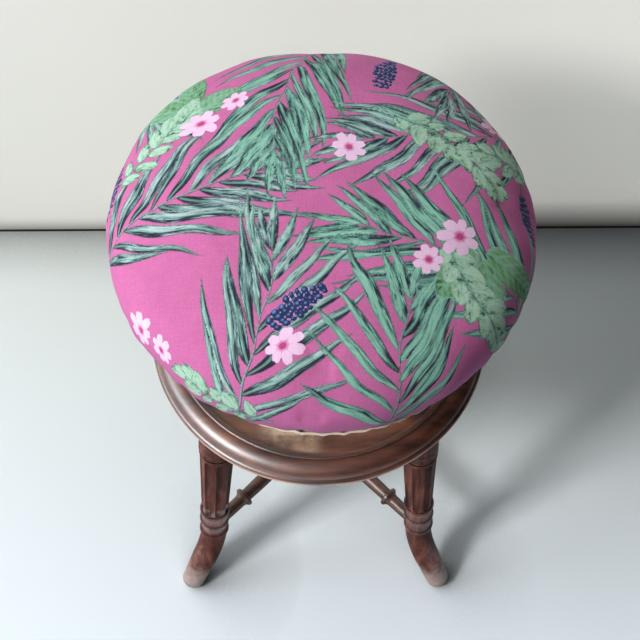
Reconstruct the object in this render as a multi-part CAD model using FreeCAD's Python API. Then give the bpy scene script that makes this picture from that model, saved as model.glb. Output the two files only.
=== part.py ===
import FreeCAD, Part
import math
import os

# Revolving piano stool: a round stuffed seat on a screw spindle, over a dished
# mahogany ring on four turned, fluted and out-swept legs.
# Millimetres, +Z up. The origin is on the stool's axis at floor level, and -Y is
# the front. The seat is drawn wound up, as it stands in use.

V = FreeCAD.Vector
UP = V(0, 0, 1)
FULL_TURN = 360
CENTRE = V(0, 0, 0)
diagonal = math.sqrt(0.5)

# Fits between pieces
glue_gap = 0.1
running_gap = 0.25
layer_gap = 0.3
tool_overrun = 20.0

# Base ring: a turned board
ring_radius = 156.0
ring_floor_thickness = 14.0
ring_edge_bevel = 2.2
bead_height = 9.0
bead_bulge = 3.6
groove_height = 1.4
groove_depth = 0.8
slope_width = 15.4
slope_height = 8.8
ridge_width = 2.2
ridge_height = 1.5
recess_cove_width = 7.0
recess_cove_depth = 5.4
recess_dish_width = 34.0

# Centre column below the ring
column_flange_radius = 44.0
column_flange_thickness = 9.0
column_shoulder_wall = 15.9
column_waist_wall = 8.4
column_foot_wall = 6.9
column_ring_radius = 33.0
column_ring_height = 10.0
column_neck_radius = 18.0
column_bore_spare = 7.0
column_ring_drop = 14.0
hub_radius = 30.0
hub_height = 44.0
hub_bead_height = 7.0
hub_bead_bulge = 2.5
finial_peg_radius = 9.0
finial_peg_length = 16.0
finial_neck_radius = 12.0
finial_collar_radius = 23.0
finial_collar_height = 6.0
finial_collar_bulge = 3.0
finial_ball_radius = 15.0
finial_button_radius = 4.0
finial_button_length = 5.0

# Legs
leg_standing_height = 360.0
leg_count = 4
first_leg_angle = 225.0
leg_inset = 26.4
leg_splay = 6.6
leg_pin_radius = 9.0
leg_pin_length = 11.0
leg_cap_radius = 18.0
leg_cap_height = 8.0
leg_neck_radius = 14.6
leg_neck_height = 15.0
collar_radius = 17.6
collar_groove_radius = 16.2
collar_ring_height = 11.0
collar_ring_count = 3
collar_fillet_radius = 17.2
collar_fillet_height = 2.6
fluted_top_radius = 16.6
fluted_foot_radius = 14.0
fluted_length = 137.0
flute_count = 8
flute_turn = 16.0
flute_top_radius = 5.6
flute_foot_radius = 4.4
flute_top_depth = 2.4
flute_foot_depth = 2.1
flute_top_land = 3.0
flute_foot_land = 1.0
ankle_bead_radius = 15.9
ankle_groove_radius = 14.2
ankle_bead_height = 7.4
ankle_cove_depth = 0.9
ankle_upper_cove_height = 17.0
ankle_lower_cove_height = 19.8
foot_radius = 14.3
foot_bend_radius = 150.0
foot_bend_angle = 23.5
toe_radius = 12.9
toe_centre_height = 11.2

# The front right leg was turned with a lower collar and a higher ankle
odd_leg_collar_drop = 7.0
odd_leg_ankle_lift = 12.0

# Stretchers
stretcher_height = 114.0
stretcher_hub_radius = 7.0
stretcher_belly_radius = 7.6
stretcher_leg_radius = 6.6
stretcher_collar_radius = 11.0
stretcher_collar_width = 4.6
stretcher_collar_round = 1.2
stretcher_cove_width = 5.5
stretcher_cove_depth = 0.9
stretcher_collar_place = 113.0
stretcher_peg_lead = 3.0
hub_socket_depth = 14.0
leg_socket_depth = 5.0

# Screw spindle, its nut and its stop
spindle_radius = 11.0
thread_depth = 1.8
thread_pitch = 8.0
thread_crest_width = 3.0
thread_flank_width = 0.9
thread_root_sink = 0.3
nut_to_spider_gap = 4.0
nut_sleeve_radius = 17.0
nut_sleeve_length = 44.0
nut_flange_radius = 34.0
nut_flange_thickness = 4.0
nut_screw_circle = 26.0
nut_screw_count = 4
journal_radius = 8.0
journal_tip = 2.0
washer_radius = 15.5
washer_thickness = 3.0
stop_nut_flats = 24.0
stop_nut_sides = 6
stop_nut_height = 13.0
winds_down = 13
winds_up = 2

# Wood screws and tacks
screw_shank_radius = 2.2
screw_head_radius = 4.4
screw_head_depth = 2.2
screw_slot_width = 0.9
screw_slot_depth = 0.8
nut_screw_length = 12.0
spider_screw_length = 16.0
tack_head_radius = 4.0
tack_head_rise = 1.3
tack_head_swell = 0.33
tack_shank_radius = 0.9
tack_length = 9.0
tack_count = 28
tack_inset = 4.5

# Seat
seat_radius = 170.0
seat_crown = 66.0
crown_pole_radius = 600.0
crown_shoulder_radius = 173.6
crown_girth_radius = 43.0
seat_side_draw = 10.0
seat_foot_drop = 31.6
cover_thickness = 1.2
cover_edge_swell = 0.4
lining_thickness = 0.8
board_edge_padding = 5.9
board_thickness = 18.0
board_top_drop = 16.6
lining_turn_under = 22.0
lining_fold_swell = 0.2
cloth_thickness = 0.6
cloth_overlap = 9.0
pad_skirt_drop = 24.0

# Cast spider under the seat
spider_plate_thickness = 5.0
spider_plate_radius = 34.0
spider_hub_radius = 19.0
spider_hub_below = 13.6
spider_hub_above = 14.0
spider_arm_reach = 82.0
spider_arm_width = 24.0
spider_arm_count = 4
spider_rib_width = 6.0
spider_rib_height = 9.0
spider_rib_tip = 1.5
spider_screw_tip_land = 14.0
spider_screw_spacing = 26.0
spider_pin_radius = 2.5

# Heights and radii that follow from the sizes above
ring_underside = leg_standing_height
leg_axis_radius = ring_radius - leg_inset
seat_foot_radius = seat_radius - seat_side_draw
board_radius = seat_foot_radius - board_edge_padding
dish_floor = ring_underside + ring_floor_thickness
nut_flange_bed = dish_floor - nut_flange_thickness
nut_foot = dish_floor - nut_sleeve_length
travel_up = winds_up * thread_pitch
travel_down = winds_down * thread_pitch
column_bore_radius = nut_sleeve_radius + glue_gap
spider_hub_foot = dish_floor + travel_down + nut_to_spider_gap
spider_top = spider_hub_foot + spider_hub_below + spider_plate_thickness
cloth_underside = spider_top
lining_underside = cloth_underside + cloth_thickness
board_underside = lining_underside + lining_thickness
board_top = board_underside + board_thickness
seat_girth_height = board_top + board_top_drop
washer_top = nut_foot - travel_up - layer_gap
journal_top = washer_top + running_gap
washer_bottom = washer_top - washer_thickness
stop_nut_top = washer_bottom - running_gap
stop_nut_foot = stop_nut_top - stop_nut_height
spindle_foot = stop_nut_foot - journal_tip
column_bore_floor = spindle_foot - travel_down - column_bore_spare
spindle_top = spider_top + spider_hub_above - glue_gap
thread_top = spider_hub_foot - glue_gap
splay = math.radians(leg_splay)
hub_foot = stretcher_height - hub_height / 2
hub_top = stretcher_height + hub_height / 2


def revolve(edges):
    """Turn a closed outline in the XZ plane a full turn about +Z."""
    return Part.Face(Part.Wire(edges)).revolve(CENTRE, UP, FULL_TURN)


def line(start, end):
    return Part.LineSegment(V(start[0], 0, start[1]), V(end[0], 0, end[1])).toShape()


def arc(start, middle, end):
    places = [V(r, 0, z) for r, z in (start, middle, end)]
    return Part.Arc(*places).toShape()


def lines(points):
    return [line(a, b) for a, b in zip(points, points[1:])]


def bulge(start, end, height):
    """An arc from start to end that stands out by height on its left-hand side."""
    along_r = end[0] - start[0]
    along_z = end[1] - start[1]
    length = math.hypot(along_r, along_z)
    middle_r = (start[0] + end[0]) / 2 - along_z / length * height
    middle_z = (start[1] + end[1]) / 2 + along_r / length * height
    return arc(start, (middle_r, middle_z), end)


def cylinder(radius, bottom, top):
    return Part.makeCylinder(radius, top - bottom, V(0, 0, bottom), UP)


def around(shape, count, first=0.0):
    """Copies of a shape, evenly spaced about the axis."""
    copies = []
    for index in range(count):
        copy = shape.copy()
        copy.rotate(CENTRE, UP, first + index * FULL_TURN / count)
        copies.append(copy)
    return copies


def single(shape):
    """The one solid of a finished piece."""
    solids = shape.removeSplitter().Solids
    if len(solids) != 1:
        raise ValueError("piece is not one solid: %d" % len(solids))
    return solids[0]


def wood_screw(length, clearance=0.0):
    """A countersunk screw, head up at the origin; with a clearance, its hole."""
    head = screw_head_radius + clearance
    shank = screw_shank_radius + clearance
    tip = length + clearance
    point_start = tip - screw_head_depth
    outline = lines([(0, 0), (head, 0), (shank, -screw_head_depth), (shank, -point_start),
                     (0, -tip), (0, 0)])
    body = revolve(outline)
    if clearance:
        return body
    slot = Part.makeBox(2 * head, screw_slot_width, screw_slot_depth,
                        V(-head, -screw_slot_width / 2, -screw_slot_depth))
    return body.cut(slot)


# Base ring

def ring_outline():
    """Closed outline of the turned board, radius against height."""
    bead_foot = (ring_radius - bead_bulge, ring_underside + ring_edge_bevel)
    bead_top = (ring_radius - bead_bulge, bead_foot[1] + bead_height)
    groove_top = (bead_top[0], bead_top[1] + groove_height)
    slope_foot = (groove_top[0] + groove_depth, groove_top[1])
    slope_top = (slope_foot[0] - slope_width, slope_foot[1] + slope_height)
    slope_middle = (slope_top[0] + slope_width * diagonal, slope_foot[1] + slope_height * diagonal)
    ridge_outer = (slope_top[0], slope_top[1] + ridge_height / 2)
    ridge_inner = (slope_top[0] - ridge_width, ridge_outer[1])
    ridge_crest = (slope_top[0] - ridge_width / 2, slope_top[1] + ridge_height)
    cove_foot = (ridge_inner[0] - recess_cove_width, ridge_inner[1] - recess_cove_depth)
    dish_edge = (cove_foot[0] - recess_dish_width, dish_floor)
    bed_edge = (nut_flange_radius + glue_gap, dish_floor)
    bed_foot = (bed_edge[0], nut_flange_bed)
    hole_top = (column_bore_radius, nut_flange_bed)
    hole_foot = (column_bore_radius, ring_underside)
    under_edge = (bead_foot[0] - ring_edge_bevel, ring_underside)
    edges = [line(under_edge, bead_foot)]
    edges.append(bulge(bead_foot, bead_top, -bead_bulge))
    edges += lines([bead_top, groove_top, slope_foot])
    edges.append(arc(slope_foot, slope_middle, slope_top))
    edges.append(line(slope_top, ridge_outer))
    edges.append(arc(ridge_outer, ridge_crest, ridge_inner))
    edges.append(bulge(ridge_inner, cove_foot, ridge_height))
    edges += lines([cove_foot, dish_edge, bed_edge, bed_foot, hole_top, hole_foot, under_edge])
    return edges


def nut_screw_holes(clearance):
    screw = wood_screw(nut_screw_length, clearance)
    screw.translate(V(nut_screw_circle, 0, dish_floor))
    return around(screw, nut_screw_count)


def base_ring():
    ring = revolve(ring_outline())
    return single(ring.cut(nut_screw_holes(glue_gap) + leg_pins(glue_gap)))


# Legs. A leg is turned about +Z with its top face at height zero, then leant
# outwards and set under the ring. Distances run down the leg.

def leg_frame(shape):
    """Lean a leg piece outwards along +X and set its top under the ring."""
    placed = shape.copy()
    placed.rotate(CENTRE, V(0, 1, 0), -leg_splay)
    placed.translate(V(leg_axis_radius, 0, ring_underside))
    return placed


def leg_pin(clearance):
    radius = leg_pin_radius + clearance
    return leg_frame(cylinder(radius, -tool_overrun, leg_pin_length + clearance))


def leg_pins(clearance):
    return around(leg_pin(clearance), leg_count, first_leg_angle)


ankle_cove_heights = (ankle_upper_cove_height, ankle_lower_cove_height)
ankle_height = sum(ankle_cove_heights) + (len(ankle_cove_heights) + 1) * ankle_bead_height
bend_start = (leg_cap_height + leg_neck_height + collar_ring_count * collar_ring_height
              + collar_fillet_height + fluted_length + ankle_height)


def fluted_stretch(collar_drop, ankle_lift):
    """Where the fluted shaft of a leg starts and ends."""
    collar_top = leg_cap_height + leg_neck_height + collar_drop
    top = collar_top + collar_ring_count * collar_ring_height + collar_fillet_height
    foot = bend_start - ankle_lift - ankle_height
    return top, foot


def ankle_edges(top):
    """Beads round the ankle with a hollow cove after each but the last."""
    edges = []
    place = (ankle_groove_radius, top)
    for cove_height in ankle_cove_heights + (0,):
        below = (ankle_groove_radius, place[1] - ankle_bead_height)
        edges.append(bulge(place, below, ankle_bead_radius - ankle_groove_radius))
        place = below
        if cove_height:
            below = (ankle_groove_radius, place[1] - cove_height)
            edges.append(bulge(place, below, -ankle_cove_depth))
            place = below
    return edges, place


def leg_turning(collar_drop, ankle_lift):
    """The straight turned part of a leg, cap to ankle."""
    fluted_top, fluted_foot = fluted_stretch(collar_drop, ankle_lift)
    neck_height = leg_neck_height + collar_drop
    neck_top = (leg_cap_radius, -leg_cap_height)
    neck_middle = (leg_neck_radius, -leg_cap_height - neck_height / 2)
    neck_foot = (collar_groove_radius, -leg_cap_height - neck_height)
    edges = lines([(0, tool_overrun), (leg_cap_radius, tool_overrun), neck_top])
    edges.append(arc(neck_top, neck_middle, neck_foot))
    place = neck_foot
    for _ in range(collar_ring_count):
        below = (place[0], place[1] - collar_ring_height)
        edges.append(bulge(place, below, collar_radius - collar_groove_radius))
        place = below
    edges += lines([place, (collar_fillet_radius, place[1]), (collar_fillet_radius, -fluted_top),
                    (fluted_top_radius, -fluted_top), (fluted_foot_radius, -fluted_foot),
                    (ankle_groove_radius, -fluted_foot)])
    beads, place = ankle_edges(-fluted_foot)
    edges += beads
    edges += lines([place, (foot_radius, -bend_start), (0, -bend_start), (0, tool_overrun)])
    return revolve(edges).removeSplitter()


def flute_cutter(collar_drop, ankle_lift):
    """A tapered round-ended bar that lies along the fluted cone at +X."""
    fluted_top, fluted_foot = fluted_stretch(collar_drop, ankle_lift)
    top = -(fluted_top + flute_top_land + flute_top_radius)
    foot = -(fluted_foot - flute_foot_land - flute_foot_radius)
    length = top - foot
    head_tip = (0, length + flute_top_radius)
    tail_tip = (0, -flute_foot_radius)
    head_middle = (flute_top_radius * diagonal, length + flute_top_radius * diagonal)
    tail_middle = (flute_foot_radius * diagonal, -flute_foot_radius * diagonal)
    outline = [line(tail_tip, head_tip)]
    outline.append(arc(head_tip, head_middle, (flute_top_radius, length)))
    outline.append(line((flute_top_radius, length), (flute_foot_radius, 0)))
    outline.append(arc((flute_foot_radius, 0), tail_middle, tail_tip))
    bar = revolve(outline)
    top_centre = fluted_top_radius - flute_top_depth + flute_top_radius
    foot_centre = fluted_foot_radius - flute_foot_depth + flute_foot_radius
    lean = math.degrees(math.atan2(top_centre - foot_centre, length))
    bar.rotate(CENTRE, V(0, 1, 0), lean)
    bar.translate(V(foot_centre, 0, foot))
    return bar


def foot_bend():
    """The curved ankle: a round bar bent outwards below the beads."""
    section = Part.Face(Part.Wire(Part.makeCircle(foot_radius, V(0, 0, -bend_start), UP)))
    hinge = V(foot_bend_radius, 0, -bend_start)
    return section.revolve(hinge, V(0, -1, 0), foot_bend_angle)


def toe():
    """The straight foot below the bend, rounded at its end, along the leg's frame."""
    bend = math.radians(foot_bend_angle)
    end_x = foot_bend_radius * (1 - math.cos(bend))
    end_z = -bend_start - foot_bend_radius * math.sin(bend)
    lean = splay + bend
    end_height = ring_underside + end_z * math.cos(splay) + end_x * math.sin(splay)
    reach = (end_height - toe_centre_height) / math.cos(lean)
    edges = lines([(0, -reach - toe_radius), (0, 0), (foot_radius, 0), (toe_radius, -reach)])
    edges.append(arc((toe_radius, -reach), (toe_radius * diagonal, -reach - toe_radius * diagonal),
                     (0, -reach - toe_radius)))
    bar = revolve(edges)
    bar.rotate(CENTRE, V(0, 1, 0), -foot_bend_angle)
    bar.translate(V(end_x, 0, end_z))
    return bar


def leg(angle, turn=flute_turn, collar_drop=0.0, ankle_lift=0.0):
    """A leg at an angle about the stool, with its pin and its stretcher socket."""
    flutes = around(flute_cutter(collar_drop, ankle_lift), flute_count, turn)
    turning = leg_turning(collar_drop, ankle_lift).cut(flutes)
    shaft = leg_frame(foot_bend().fuse([toe(), turning]))
    reach = leg_axis_radius + ring_radius
    above = Part.makeBox(2 * reach, 2 * reach, 2 * tool_overrun, V(-reach, -reach, ring_underside))
    below = Part.makeBox(2 * reach, 2 * reach, 2 * tool_overrun,
                         V(-reach, -reach, -2 * tool_overrun))
    shaft = shaft.cut([above, below])
    shaft = shaft.fuse(leg_pin(0.0)).cut(stretcher_socket(glue_gap))
    shaft.rotate(CENTRE, UP, angle)
    return single(shaft)


# Stretchers, along +X from the hub to the leg

def leg_axis_at(height):
    """Radius of the leg's straight axis at a height."""
    return leg_axis_radius + (ring_underside - height) * math.tan(splay)


stretcher_start = hub_radius - hub_socket_depth
stretcher_meets_leg = leg_axis_at(stretcher_height) - ankle_bead_radius
stretcher_peg = stretcher_meets_leg - stretcher_peg_lead
stretcher_end = stretcher_meets_leg + leg_socket_depth


def stretcher_outline():
    """Outline of a stretcher about its own axis: radius against distance from the hub."""
    collar_in = stretcher_collar_place - stretcher_collar_width / 2
    collar_out = collar_in + stretcher_collar_width
    cove_out = (stretcher_hub_radius, collar_out + stretcher_cove_width)
    shoulder = stretcher_collar_radius - stretcher_collar_round
    belly = (stretcher_belly_radius, (hub_radius + collar_in) / 2)
    hub_end = (stretcher_hub_radius, hub_radius)
    collar_end = (stretcher_hub_radius, collar_in)
    edges = lines([(0, stretcher_start), (stretcher_hub_radius, stretcher_start), hub_end])
    edges.append(arc(hub_end, belly, collar_end))
    edges += lines([collar_end, (shoulder, collar_in),
                    (stretcher_collar_radius, collar_in + stretcher_collar_round),
                    (stretcher_collar_radius, collar_out - stretcher_collar_round),
                    (shoulder, collar_out)])
    edges.append(bulge((shoulder, collar_out), cove_out, stretcher_cove_depth))
    edges += lines([cove_out, (stretcher_leg_radius, stretcher_peg),
                    (stretcher_leg_radius, stretcher_end), (0, stretcher_end),
                    (0, stretcher_start)])
    return edges


def lay_along_x(shape):
    laid = shape.copy()
    laid.rotate(CENTRE, V(0, 1, 0), 90)
    laid.translate(V(0, 0, stretcher_height))
    return laid


def stretcher():
    return single(lay_along_x(revolve(stretcher_outline())))


def stretcher_socket(clearance):
    """The round hole that a stretcher's outer end fits, in the leg."""
    radius = stretcher_leg_radius + clearance
    mouth = stretcher_meets_leg - tool_overrun
    return lay_along_x(cylinder(radius, mouth, stretcher_end + clearance))


# Centre column and its drop

def centre_column():
    top = ring_underside
    flange_foot = top - column_flange_thickness
    shoulder = (column_bore_radius + column_shoulder_wall, flange_foot)
    ring_top = column_bore_floor + column_ring_drop
    ring_foot = ring_top - column_ring_height
    waist = (column_bore_radius + column_waist_wall, (flange_foot + ring_top) / 2)
    waist_foot = (column_bore_radius + column_foot_wall, ring_top)
    neck_top = (column_neck_radius, ring_foot - column_ring_drop)
    neck_foot = (column_neck_radius, hub_top + hub_bead_height)
    edges = lines([(column_bore_radius, column_bore_floor), (column_bore_radius, top),
                   (column_flange_radius, top)])
    edges.append(bulge((column_flange_radius, top), (column_flange_radius, flange_foot),
                       hub_bead_bulge))
    edges.append(line((column_flange_radius, flange_foot), shoulder))
    edges.append(arc(shoulder, waist, waist_foot))
    edges.append(line(waist_foot, (column_ring_radius, ring_top)))
    edges.append(bulge((column_ring_radius, ring_top), (column_ring_radius, ring_foot),
                       hub_bead_bulge))
    edges.append(line((column_ring_radius, ring_foot), (waist_foot[0], ring_foot)))
    edges += lines([(waist_foot[0], ring_foot), neck_top, neck_foot, (hub_radius, hub_top)])
    bead_foot = hub_top - hub_bead_height
    lower_bead_top = hub_foot + hub_bead_height
    edges.append(bulge((hub_radius, hub_top), (hub_radius, bead_foot), hub_bead_bulge))
    edges.append(line((hub_radius, bead_foot), (hub_radius, lower_bead_top)))
    edges.append(bulge((hub_radius, lower_bead_top), (hub_radius, hub_foot), hub_bead_bulge))
    peg_hole = finial_peg_radius + glue_gap
    peg_top = hub_foot + finial_peg_length + glue_gap
    edges += lines([(hub_radius, hub_foot), (peg_hole, hub_foot), (peg_hole, peg_top), (0, peg_top),
                    (0, column_bore_floor), (column_bore_radius, column_bore_floor)])
    socket = lay_along_x(cylinder(stretcher_hub_radius + glue_gap, stretcher_start - glue_gap,
                                  hub_radius + tool_overrun))
    return single(revolve(edges).cut(around(socket, leg_count, first_leg_angle)))


def hub_finial():
    collar_foot = hub_foot - finial_collar_height
    neck_foot = collar_foot - finial_collar_height
    ball_top = (finial_neck_radius, neck_foot)
    ball_drop = 2 * math.sqrt(finial_ball_radius ** 2 - finial_neck_radius ** 2)
    ball_middle = (finial_ball_radius, neck_foot - ball_drop / 2)
    turn = (finial_ball_radius * diagonal, ball_middle[1] - finial_ball_radius * diagonal)
    button_top = (finial_button_radius, ball_middle[1] - finial_ball_radius)
    button_foot = (finial_button_radius, button_top[1] - finial_button_length)
    peg_top = hub_foot + finial_peg_length
    edges = lines([(0, peg_top), (finial_peg_radius, peg_top), (finial_peg_radius, hub_foot),
                   (finial_collar_radius, hub_foot)])
    edges.append(bulge((finial_collar_radius, hub_foot), (finial_collar_radius, collar_foot),
                       finial_collar_bulge))
    edges += lines([(finial_collar_radius, collar_foot), (finial_neck_radius, neck_foot)])
    edges.append(arc(ball_top, ball_middle, turn))
    edges += lines([turn, button_top, button_foot, (0, button_foot[1]), (0, peg_top)])
    return single(revolve(edges))


# Nut, screw spindle and stop

def spindle_nut():
    flange = cylinder(nut_flange_radius, nut_flange_bed, dish_floor)
    sleeve = cylinder(nut_sleeve_radius, nut_foot, dish_floor)
    bore = cylinder(spindle_radius + running_gap, nut_foot - tool_overrun, dish_floor + tool_overrun)
    return single(flange.fuse(sleeve).cut([bore] + nut_screw_holes(glue_gap)))


def nut_screws():
    return Part.makeCompound(nut_screw_holes(0.0))


def thread_ridge(bottom, top):
    """One unbroken right-hand thread round the spindle's core."""
    core = spindle_radius - thread_depth
    half_crest = thread_crest_width / 2
    half_root = half_crest + thread_flank_width
    start = bottom + half_root
    helix = Part.makeHelix(thread_pitch, top - bottom - 2 * half_root, core)
    helix.translate(V(0, 0, start))
    inner = core - thread_root_sink
    corners = [V(inner, 0, start - half_root), V(spindle_radius, 0, start - half_crest),
               V(spindle_radius, 0, start + half_crest), V(inner, 0, start + half_root)]
    profile = Part.makePolygon(corners + corners[:1])
    return Part.Wire(helix).makePipeShell([profile], True, True)


def spindle():
    core = cylinder(spindle_radius - thread_depth, journal_top, thread_top)
    ridge = thread_ridge(journal_top, thread_top)
    shank = cylinder(spindle_radius, thread_top, spindle_top)
    journal = cylinder(journal_radius, spindle_foot, journal_top)
    screw = core.fuse([ridge, shank, journal])
    return single(screw.cut(spider_pin_bar(glue_gap)))


def stop_washer():
    disc = cylinder(washer_radius, washer_bottom, washer_top)
    return single(disc.cut(cylinder(journal_radius + running_gap, stop_nut_foot, journal_top)))


def stop_nut():
    side_angle = 2 * math.pi / stop_nut_sides
    corner = stop_nut_flats / 2 / math.cos(side_angle / 2)
    corners = []
    for index in range(stop_nut_sides):
        angle = side_angle * index
        corners.append(V(corner * math.cos(angle), corner * math.sin(angle), stop_nut_foot))
    hexagon = Part.Face(Part.makePolygon(corners + corners[:1]))
    block = hexagon.extrude(UP * stop_nut_height)
    hole = cylinder(journal_radius + glue_gap, spindle_foot, washer_top)
    return single(block.cut(hole))


# Spider and its fixings

def spider_pin_bar(clearance):
    height = spider_hub_foot + spider_hub_below / 2
    reach = spider_hub_radius + clearance
    start = V(-reach, 0, height)
    bar = Part.makeCylinder(spider_pin_radius + clearance, 2 * reach, start, V(1, 0, 0))
    bar.rotate(CENTRE, UP, FULL_TURN / spider_arm_count / 2)
    return bar


def spider_screw_tools(clearance):
    """Wood screws, heads down, two in each arm; with a clearance, their holes."""
    tools = []
    outer = spider_arm_reach - spider_screw_tip_land
    for place in (outer, outer - spider_screw_spacing):
        screw = wood_screw(spider_screw_length, clearance)
        screw.rotate(CENTRE, V(1, 0, 0), 180)
        screw.translate(V(place, 0, spider_top - spider_plate_thickness))
        tools += around(screw, spider_arm_count)
    return tools


def seat_spider():
    plate_foot = spider_top - spider_plate_thickness
    plate = cylinder(spider_plate_radius, plate_foot, spider_top)
    hub = cylinder(spider_hub_radius, spider_hub_foot, spider_top + spider_hub_above)
    half = spider_arm_width / 2
    bar = Part.makeBox(spider_arm_reach - half, spider_arm_width, spider_plate_thickness,
                       V(0, -half, plate_foot))
    end = Part.makeCylinder(half, spider_plate_thickness, V(spider_arm_reach - half, 0, plate_foot), UP)
    rib_end = spider_arm_reach - spider_screw_tip_land - spider_screw_spacing - screw_head_radius * 2
    rib_profile = Part.makePolygon([V(0, 0, plate_foot), V(rib_end, 0, plate_foot),
                                    V(rib_end, 0, plate_foot - spider_rib_tip),
                                    V(spider_hub_radius, 0, plate_foot - spider_rib_height),
                                    V(0, 0, plate_foot - spider_rib_height), V(0, 0, plate_foot)])
    rib = Part.Face(rib_profile).extrude(V(0, spider_rib_width, 0))
    rib.translate(V(0, -spider_rib_width / 2, 0))
    arm = bar.fuse([end, rib])
    spider = plate.fuse([hub] + around(arm, spider_arm_count))
    bore = cylinder(spindle_radius + glue_gap, spider_hub_foot - tool_overrun,
                    spider_top + spider_hub_above + tool_overrun)
    cuts = [bore, spider_pin_bar(glue_gap)] + spider_screw_tools(glue_gap)
    return single(spider.cut(cuts))


def spider_pin():
    return single(spider_pin_bar(0.0))


def spider_screws():
    return Part.makeCompound(spider_screw_tools(0.0))


# Seat board, stuffing, lining, cover and dust cloth

def towards(start, end):
    """Unit direction from one point of the outline to another."""
    length = math.hypot(end[0] - start[0], end[1] - start[1])
    return (end[0] - start[0]) / length, (end[1] - start[1]) / length


def crown_centres():
    """Centres of the crown's three tangent arcs: over the axis, at the shoulder and at the girth."""
    pole = (0, crown_height(0) - crown_pole_radius)
    girth = (seat_radius - crown_girth_radius, seat_girth_height)
    apart = math.hypot(girth[0] - pole[0], girth[1] - pole[1])
    from_pole = crown_pole_radius - crown_shoulder_radius
    from_girth = crown_shoulder_radius - crown_girth_radius
    along = (apart ** 2 + from_pole ** 2 - from_girth ** 2) / (2 * apart)
    aside = math.sqrt(from_pole ** 2 - along ** 2)
    way = towards(pole, girth)
    shoulder = (pole[0] + way[0] * along - way[1] * aside, pole[1] + way[1] * along + way[0] * aside)
    return pole, shoulder, girth


def crown_arcs(inset):
    """The domed top from the girth to the axis, at an even depth under the cover's outside."""
    pole, shoulder, girth = crown_centres()
    radii = [crown_girth_radius - inset, crown_shoulder_radius - inset, crown_pole_radius - inset]
    centres = [girth, shoulder, pole]
    ways = [(1, 0), towards(shoulder, girth), towards(pole, shoulder), (0, 1)]
    edges = []
    for index, (centre, radius) in enumerate(zip(centres, radii)):
        first, last = ways[index], ways[index + 1]
        middle = towards((0, 0), (first[0] + last[0], first[1] + last[1]))
        places = [(centre[0] + way[0] * radius, centre[1] + way[1] * radius)
                  for way in (first, middle, last)]
        edges.append(arc(*places))
    return edges


def side_radius(height, inset):
    """Radius of the seat's drawn-in side at a height below the girth."""
    sweep = (seat_foot_drop ** 2 + seat_side_draw ** 2) / (2 * seat_side_draw)
    drop = seat_girth_height - height
    return seat_radius - sweep + math.sqrt((sweep - inset) ** 2 - drop ** 2)


def side_curve(foot, inset):
    """The drawn-in side from a foot height up to the girth."""
    middle = (foot + seat_girth_height) / 2
    return arc((side_radius(foot, inset), foot), (side_radius(middle, inset), middle),
               (seat_radius - inset, seat_girth_height))


def crown_height(inset):
    return seat_girth_height + seat_crown - inset


def shell_sides(foot, outside, inside):
    """Outer and inner curves of a domed shell, from its foot over the crown and back."""
    edges = [side_curve(foot, outside)] + crown_arcs(outside)
    edges.append(line((0, crown_height(outside)), (0, crown_height(inside))))
    edges += crown_arcs(inside)[::-1] + [side_curve(foot, inside)]
    return edges


cover_inside = cover_thickness
lining_outside = cover_inside + layer_gap
lining_inside = lining_outside + lining_thickness
pad_outside = lining_inside + layer_gap


def seat_cover():
    foot = seat_girth_height - seat_foot_drop
    outer = (side_radius(foot, 0), foot)
    inner = (side_radius(foot, cover_inside), foot)
    edges = shell_sides(foot, 0, cover_inside)
    edges.append(bulge(inner, outer, -cover_edge_swell))
    return single(revolve(edges))


def calico_lining():
    corner = (side_radius(board_underside, lining_outside), board_underside)
    edges = shell_sides(board_underside, lining_outside, lining_inside)
    inner = (side_radius(board_underside, lining_inside), board_underside)
    hem = board_radius - lining_turn_under
    edges += lines([inner, (hem, board_underside), (hem, lining_underside),
                    (corner[0] - lining_thickness, lining_underside)])
    edges.append(bulge((corner[0] - lining_thickness, lining_underside), corner,
                       -lining_fold_swell))
    return single(revolve(edges).cut(tacks(glue_gap)))


def stuffing_pad():
    foot = seat_girth_height - pad_skirt_drop
    inner = board_radius + layer_gap
    edges = [side_curve(foot, pad_outside)] + crown_arcs(pad_outside)
    edges += lines([(0, crown_height(pad_outside)), (0, board_top), (inner, board_top),
                    (inner, foot), (side_radius(foot, pad_outside), foot)])
    return single(revolve(edges))


def seat_board():
    board = cylinder(board_radius, board_underside, board_top)
    pocket = cylinder(spider_hub_radius + glue_gap, board_underside - tool_overrun,
                      spider_top + spider_hub_above + glue_gap)
    return single(board.cut([pocket] + spider_screw_tools(glue_gap) + tacks(glue_gap)))


def bottom_cloth():
    radius = board_radius - lining_turn_under + cloth_overlap
    disc = cylinder(radius, cloth_underside, lining_underside)
    hole = cylinder(spider_hub_radius + glue_gap, cloth_underside - tool_overrun, board_top)
    return single(disc.cut([hole] + spider_screw_tools(glue_gap) + tacks(glue_gap)))


def tacks(clearance):
    """Tacks, heads down, through the dust cloth and lining; with a clearance, their holes."""
    circle = board_radius - lining_turn_under + cloth_overlap - tack_inset
    shank = tack_shank_radius + clearance
    tip = tack_length + clearance
    if clearance:
        outline = lines([(0, 0), (shank, 0), (shank, tip), (0, tip), (0, 0)])
    else:
        outline = [bulge((0, -tack_head_rise), (tack_head_radius, 0), -tack_head_swell)]
        outline += lines([(tack_head_radius, 0), (shank, 0), (shank, tip - tack_head_rise), (0, tip),
                          (0, -tack_head_rise)])
    tack = revolve(outline)
    tack.translate(V(circle, 0, cloth_underside))
    return around(tack, tack_count, FULL_TURN / tack_count / 2)


def cloth_tacks():
    return Part.makeCompound(tacks(0.0))


def write_piece(name, shape):
    if not shape.isValid():
        raise ValueError("piece is not valid: " + name)
    shape.exportStep("parts/" + name + ".step")
    print("%-24s solids %3d  volume %10.1f mm3" % (name, len(shape.Solids), shape.Volume))


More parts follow.
